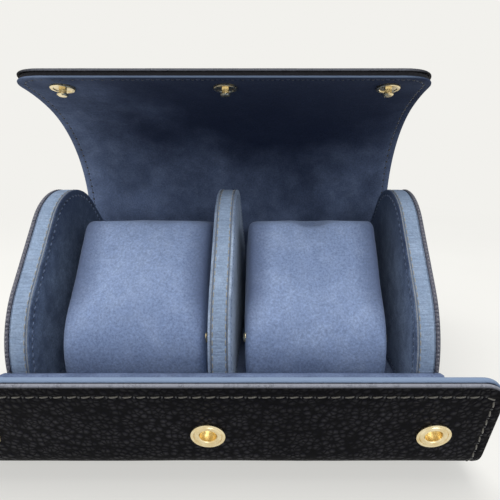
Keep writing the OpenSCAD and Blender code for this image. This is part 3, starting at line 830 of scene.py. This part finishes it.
def plate(name, x_seat, x_face, rim, material):
    """A covered plate with a rounded rim and a stitched dip near its edge."""
    way = 1 if x_face > x_seat else -1
    thick = abs(x_face - x_seat)
    rings = [(0.0, 0.0)]
    for d in (0, 0.05, 0.18, 0.4, 0.7, 1.2, 1.9, 2.5, 2.85, 3.1, 3.35, 3.7, 4.4, 5.6, 7.5, 10, 13):
        full = rounding(d, rim)
        dip = (0.22 * math.exp(-((d - face_stitch_setback) / 0.5) ** 2)
               - 0.06 * math.exp(-((d - face_stitch_setback * 0.5) / 0.7) ** 2))
        rings.append((d, thick - rim + (rim - dip) * full))
    points, uvs, edge = [], [], []
    for d, h in rings:
        for p in closed_outline(d):
            points.append((x_seat + way * h, p.x, p.y))
            uvs.append((p.x / uv_span + 0.5, p.y / uv_span + 0.5))
            edge.append(d)
    # one flat face closes the back, and one closes the middle of the front
    faces = shell(len(rings), len(cap_line))
    if way > 0:
        faces = [face[::-1] for face in faces]
    back = set(range(len(cap_line)))
    return new_piece(name, points, faces, material, uvs, edge, back)


def rows_along(inset, x, up, pitch):
    """Stitch places along the outline. up is a vector, or None for straight out of the band."""
    line = closed_outline(inset, 0.8)
    line = Profile(line + line[:1])
    n = round(line.length / pitch)
    places = []
    for k in range(n):
        p, left = line.at((k + 0.5) * line.length / n)
        places.append(((x, p.x, p.y), (0, left.y, -left.x), up or (0, -left.x, -left.y)))
    return places


def band_section(x0, x1, crown=0.3):
    """Section of a band: glued flat below, crowned above, with rounded sides and a narrow
    seam pressed in beside each of them."""
    middle, half = (x0 + x1) / 2, (x1 - x0) / 2
    places = [k / 7 - 1 for k in range(15)]
    for way in (-1, 1):
        places += [way * (1 - (band_seam + d) / half) for d in (-0.24, -0.1, 0.0, 0.1, 0.24)]
    top = []
    for f in sorted(places):
        groove = 0.42 * math.exp(-(((1 - abs(f)) * half - band_seam) / 0.13) ** 2)
        side_turn = 0.5 * max(0, (abs(f) - 0.86) / 0.14) ** 2
        top.append((middle + half * f, -crown * abs(f) ** 3 - side_turn - groove))
    return (top + [(x1, -band_t), (x0, -band_t)])[::-1]


def lined_face(group, word, seat, face_x, rim, skin, pipe, pipe_r, band_thick):
    """A suede face of a cap or the divider, with what is sewn along it: the turned edge
    between it and the band, the band's row of stitches, and its own row with needle holes.
    pipe is how far the turned edge lies past the seat and out from the outline."""
    way = 1 if face_x > seat else -1
    face = plate(group + "_face_skin_" + word, seat, face_x, rim, skin)
    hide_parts(group + "_face_" + word)
    turns = [2 * math.pi * k / 10 for k in range(10)]
    section = [(seat + way * pipe[0] + 1.3 * pipe_r * math.cos(a), pipe[1] + pipe_r * math.sin(a))
               for a in turns]
    turned_edge = swept_ring(group + "_piping_" + word, section[::-1], piping)
    beside = rows_along(0.1, seat - way * 1.1, None, cap_stitch_pitch)
    band_row = stitches(group + "_band_stitches_" + word, beside, thread_grey,
                        long=3.3, thick=band_thick)
    marks = rows_along(face_stitch_setback, face_x - way * 0.12, (way, 0, 0), cap_stitch_pitch)
    row = stitches(group + "_face_stitches_" + word, marks, thread_blue,
                   long=2.6, thick=0.42, lean=0.42)
    holes = stitches(group + "_face_holes_" + word, marks, needle_hole_shade,
                     long=1.2, thick=0.5, shift=cap_stitch_pitch / 2, sink=0.3)
    return [face, turned_edge, band_row, row, holes]


dressed = []
for side, word in ((-1, "left"), (1, "right")):
    x_out, x_leather, x_face, x_in = (side * (half_w - d)
                                      for d in (0, cap_leather_t, cap_t - face_t, cap_t))
    band = swept_ring("cap_band_skin_" + word, band_section(*sorted((x_leather, x_face))),
                      band_suede, band_seam)
    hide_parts("cap_band_" + word)
    outside = plate("cap_leather_skin_" + word, x_leather, x_out, 0.9, cap_leather)
    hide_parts("cap_leather_" + word)
    marks = rows_along(face_stitch_setback, x_out - side * 0.12, (side, 0, 0), cap_stitch_pitch)
    outer_row = stitches("cap_leather_stitches_" + word, marks, thread_tan,
                         long=2.7, thick=0.32, lean=0.2)
    marks = rows_along(0.2, x_leather + side * 0.9, None, rim_stitch_pitch)
    rim_row = stitches("cap_rim_stitches_" + word, marks, thread_rim,
                       long=1.7, thick=0.5)
    dressed += [band, outside, outer_row, rim_row]
    dressed += lined_face("cap", word, x_face, x_in, 0.5, face_suede, (0.05, -0.28), 0.36, 0.24)

x_lo, x_hi = divider_x - divider_t / 2, divider_x + divider_t / 2
band = swept_ring("divider_band_skin", band_section(x_lo + face_t, x_hi - face_t, crown=0.4),
                  band_suede, band_seam)
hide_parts("divider_band")
dressed.append(band)
for word, seat, face_x in (("left", x_lo + face_t, x_lo), ("right", x_hi - face_t, x_hi)):
    dressed += lined_face("divider", word, seat, face_x, 0.7, divider_suede_painted_light, (0, -0.3), 0.3, 0.26)
for piece in dressed:
    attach(piece, "case")

# ---------------------------------------------------------------- cushions
cushion_w = (half_w - cap_t - cushion_cap_gap - divider_t / 2 - abs(divider_x)
             - cushion_divider_gap)
cushion_x = half_w - cap_t - cushion_cap_gap - cushion_w / 2
cushion_half_d = half_d - cushion_wall_gap
cushion_base = panel_t + 0.3
cushion_top = cap_h - cushion_drop
cushion_n = cs * (cap_h - ridge_r) + ridge_r - cushion_slope_gap
cushion_ridge_r = (cushion_n - cs * cushion_top) / (1 - cs)
cushion_cut = ((cushion_n - sn * cushion_half_d) / cs - cushion_wall - cushion_base
               - cushion_foot_r)
cushion_slope_len = (cushion_half_d - cushion_ridge_r * sn) / cs - cushion_cut
cushion_shoulder = arc(cushion_cut / math.tan(math.radians((90 - slope) / 2)), 90 - slope)
# The sleeve stands up to a firm edge in front, above the solid's even ridge, and its top
# falls away to the back from there. It meets the solid at the ends of the two slopes.
top_fall, front_turn_r, back_turn_r = 12, 7, 28
rise, fall = math.tan(math.radians(slope)), math.tan(math.radians(top_fall))
front_end = Vector((-cushion_ridge_r * sn, cushion_top - cushion_ridge_r * (1 - cs)))
back_end = Vector((-front_end.x, front_end.y))
top_at = Vector((14, 75))                            # a point of the top
front_y = (top_at.y + fall * top_at.x - front_end.y + rise * front_end.x) / (rise + fall)
front_edge = Vector((front_y, front_end.y + rise * (front_y - front_end.x)))
back_y = (back_end.y + rise * back_end.x - top_at.y - fall * top_at.x) / (rise - fall)
back_edge = Vector((back_y, back_end.y - rise * (back_y - back_end.x)))
front_cut = front_turn_r * math.tan(math.radians((slope + top_fall) / 2))
back_cut = back_turn_r * math.tan(math.radians((slope - top_fall) / 2))
cushion_steps = [
    arc(cushion_foot_r, 90), (2 * (cushion_half_d - cushion_foot_r), 0), arc(cushion_foot_r, 90),
    (cushion_wall, 0), cushion_shoulder,
    (cushion_slope_len + (back_end - back_edge).length - back_cut, 0),
    arc(back_turn_r, slope - top_fall),
    ((front_edge - back_edge).length - back_cut - front_cut, 0),
    arc(front_turn_r, slope + top_fall),
    (cushion_slope_len + (front_edge - front_end).length - front_cut, 0),
    cushion_shoulder, (cushion_wall, 0)]
turn_r = 3.4             # how round the sleeve is where it turns over a cushion's ends
turn_steps = (0, 0.08, 0.3, 0.65, 1.15, 1.8, 2.6, turn_r)
middle_rings = 24
panel_shares = (0.1, 0.25, 0.4, 0.55, 0.7, 0.85)     # rings of an end panel, from its middle
panel_middle = Vector((0, 40))
dip_x, dip_y, dip_depth, dip_above = 41, -3, 3.6, 60     # the right cushion's finger dip
dip_left, dip_right, dip_along = 5.5, 9.0, 9             # how far it reaches each way


def cushion_ring(inset):
    """A cushion's outline, seen from its end, inset millimetres in from it."""
    start = (-cushion_half_d, cushion_base + cushion_foot_r)
    return run(start, -90, cushion_steps, -inset, 1.6)[0][:-1]


def stuffed(piece, held_below, most):
    """Swells a cushion as its filling does. Blender's cloth blows up a coarse copy of it,
    held at its base, and the piece follows that copy, no point by more than most mm."""
    coarse = bpy.data.objects.new("filling", piece.data.copy())
    bpy.context.scene.collection.objects.link(coarse)
    remesh = coarse.modifiers.new("remesh", "REMESH")
    remesh.mode, remesh.voxel_size = "VOXEL", 0.005
    coarse.data = settled(coarse)
    coarse.modifiers.remove(remesh)
    before = [v.co.copy() for v in coarse.data.vertices]
    base = coarse.vertex_groups.new(name="base")
    base.add([i for i, c in enumerate(before) if c.z < held_below * MM], 1.0, "REPLACE")
    cloth = coarse.modifiers.new("cloth", "CLOTH")
    cloth.settings.quality = 5
    cloth.settings.use_pressure = True
    cloth.settings.uniform_pressure_force = 14
    cloth.settings.tension_stiffness = cloth.settings.compression_stiffness = 30
    cloth.settings.shear_stiffness = 15
    cloth.settings.bending_stiffness = 2
    cloth.settings.vertex_group_mass = "base"
    cloth.settings.effector_weights.gravity = 0
    first, last = 1, 20
    cloth.point_cache.frame_start, cloth.point_cache.frame_end = first, last
    for step in range(first, last + 1):
        bpy.context.scene.frame_set(step)
    after = coarse.evaluated_get(bpy.context.evaluated_depsgraph_get()).data
    moves = [a.co - b for a, b in zip(after.vertices, before)]
    moves = [m * min(1.0, most * MM / max(m.length, 1e-9)) for m in moves]
    tree = kdtree.KDTree(len(before))
    for i, c in enumerate(before):
        tree.insert(c, i)
    tree.balance()
    for v in piece.data.vertices:
        total, weight = Vector(), 0.0
        for co, i, far in tree.find_n(v.co, 12):
            w = 1 / (far + 0.002) ** 2
            total += moves[i] * w
            weight += w
        v.co += total / weight
    piece.data.update()
    bpy.context.scene.frame_set(first)
    bpy.data.objects.remove(coarse)


def cushion(word, side):
    """Foam block in a brushed suede sleeve, with painted shade towards its ends. The sleeve
    turns over its ends in a small round, and the right one has a shallow finger dip at the
    back of its top."""
    cx, half = side * cushion_x, cushion_w / 2 + 0.3
    turn = [(d, turn_r - math.sqrt(max(0.0, turn_r ** 2 - (turn_r - d) ** 2)))
            for d in turn_steps]
    flat = 2 * (half - turn_r)
    across = [(-half, turn_r, share) for share in panel_shares]
    across += [(-half + d, inset, 1.0) for d, inset in turn]
    across += [(-half + turn_r + flat * i / middle_rings, 0.0, 1.0)
               for i in range(1, middle_rings)]
    across += [(half - d, inset, 1.0) for d, inset in reversed(turn)]
    across += [(half, turn_r, share) for share in reversed(panel_shares)]
    points, away_from_dark = [], []
    for x, inset, share in across:
        line = cushion_ring(inset)
        for p, out in zip(line, outline_normals(line)):
            rough = 0.3 * noise.noise(Vector((x / 15 + side * 7, p.x / 17, p.y / 17)))
            q = p + out * (rough * min(1, max(0, (p.y - cushion_base - 4) / 8)) - 0.5)
            if side > 0 and q.y > dip_above:
                u = x + cx - dip_x
                u /= dip_left if u < 0 else dip_right
                q.y -= dip_depth * math.exp(-u ** 4 - ((q.x - dip_y) / dip_along) ** 2)
            q = panel_middle + (q - panel_middle) * share
            points.append((cx + x, q.x, q.y))
            # painted shade: the sleeve is darkened towards its ends, where it turns away from the
            # light, but not low in front
            away_from_dark.append(half - abs(x) + max(0.0, 50 - q.y) * 0.6)
    faces = shell(len(across), len(line))
    piece = new_piece("cushion_sleeve_skin_" + word, points, faces, cushion_suede,
                      None, away_from_dark)
    stuffed(piece, held_below=cushion_base + 4, most=1.3)
    return piece


for word, side in (("left", -1), ("right", 1)):
    piece = cushion(word, side)
    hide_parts("cushion_sleeve_" + word, "cushion_foam_" + word, "cushion_ends_" + word)
    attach(piece, "cushion_" + word)

# ---------------------------------------------------------------- carried-over nodes
for name, node in nodes.items():
    if node.hide_render:         # a piece stands for it
        continue
    if "board" in name or "core" in name:
        material = board
    elif name.startswith("snap") or "rivets" in name:
        material = brass
    else:
        continue
    node.data.materials.clear()
    node.data.materials.append(material)
    for polygon in node.data.polygons:
        polygon.material_index = 0

# ---------------------------------------------------------------- stage, light and camera
scene = bpy.context.scene
scene.view_settings.view_transform = "Standard"
white_wall = srgb("#f2f1ed")

# The room gives a soft cool light, and shows as a white wall behind the case and in gloss
world = bpy.data.worlds.new("studio")
scene.world = world
tree = emptied(world)
rays = add(tree, "LightPath")
through = add(tree, "Math", operation="MAXIMUM", _0=rays["Is Glossy Ray"],
              _1=rays["Is Transmission Ray"])[0]
seen = add(tree, "Math", operation="MAXIMUM", _0=rays["Is Camera Ray"], _1=through)[0]
soft = add(tree, "Background", Color=(0.93, 0.96, 1.0, 1.0), Strength=0.5)[0]
wall = add(tree, "Background", Color=white_wall, Strength=1.0)[0]
mixed = add(tree, "MixShader", _0=seen, _1=soft, _2=wall)[0]
add(tree, "OutputWorld", Surface=mixed)

# A matt white table top, that fades into the wall with its distance
table, tree = finish("table_white")
rays = add(tree, "LightPath")
seen = add(tree, "Math", operation="MAXIMUM", _0=rays["Is Camera Ray"],
           _1=rays["Is Glossy Ray"])[0]
place = add(tree, "TexCoord")["Object"]
grain = add(tree, "TexNoise", Vector=place, Scale=9.0, Detail=3.0)[0]
share = add(tree, "MapRange", Value=grain, From_Min=0.3, From_Max=0.7)[0]
paper = add(tree, "Mix", data_type="RGBA", _0=share, _6=srgb("#dcdbd7"), _7=srgb("#e2e1dd"))[2]
matt = add(tree, "BsdfDiffuse", Color=paper)[0]
glow = add(tree, "Emission", Color=white_wall, Strength=1.0)[0]
away = add(tree, "VectorMath", operation="LENGTH", _0=place)[1]
far_off = add(tree, "MapRange", Value=away, From_Min=0.16, From_Max=0.55, To_Min=0.6,
              To_Max=1.0)[0]
share = add(tree, "Math", operation="MULTIPLY", _0=seen, _1=far_off)[0]
mixed = add(tree, "MixShader", _0=share, _1=matt, _2=glow)[0]
add(tree, "OutputMaterial", Surface=mixed)

half_table, tiles, table_z = 2.5, 24, -0.0002       # metres, and tiles to a side
corners = [(-half_table + 2 * half_table * i / tiles, -half_table + 2 * half_table * j / tiles,
            table_z) for j in range(tiles + 1) for i in range(tiles + 1)]
squares = [(k, k + 1, k + tiles + 2, k + tiles + 1)
           for k in (j * (tiles + 1) + i for j in range(tiles) for i in range(tiles))]
table_mesh = bpy.data.meshes.new("table_top")
table_mesh.from_pydata(corners, [], squares)
table_mesh.materials.append(table)
table_top = bpy.data.objects.new("table_top", table_mesh)
scene.collection.objects.link(table_top)


def lamp(name, place, aim, size, watts, colour):
    """A rectangular studio lamp, turned to what it lights. Lengths are metres."""
    data = bpy.data.lights.new(name, "AREA")
    data.shape = "RECTANGLE"
    data.size, data.size_y = size
    data.energy = watts
    data.color = colour
    made = bpy.data.objects.new(name, data)
    made.location = place
    made.rotation_euler = (Vector(aim) - Vector(place)).to_track_quat("-Z", "Y").to_euler()
    scene.collection.objects.link(made)


lamp("overhead_soft", (-0.15, -0.05, 0.95), (0, 0, 0.05), (0.9, 0.8), 11, (1.0, 0.98, 0.95))
lamp("front_fill", (0.35, -0.9, 0.55), (0, 0, 0.06), (0.8, 0.5), 3.0, (0.92, 0.96, 1.0))

lens = bpy.data.cameras.new("view")
lens.sensor_width = 36
lens.lens = 30.4
lens.shift_x, lens.shift_y = -0.0404, -0.022
lens.clip_start = 0.01
camera = bpy.data.objects.new("view", lens)
camera.location = (0.0208, -0.2245, 0.1258)
camera.rotation_euler = (math.radians(75.35), 0, 0)
scene.collection.objects.link(camera)
scene.camera = camera

bpy.context.view_layer.update()
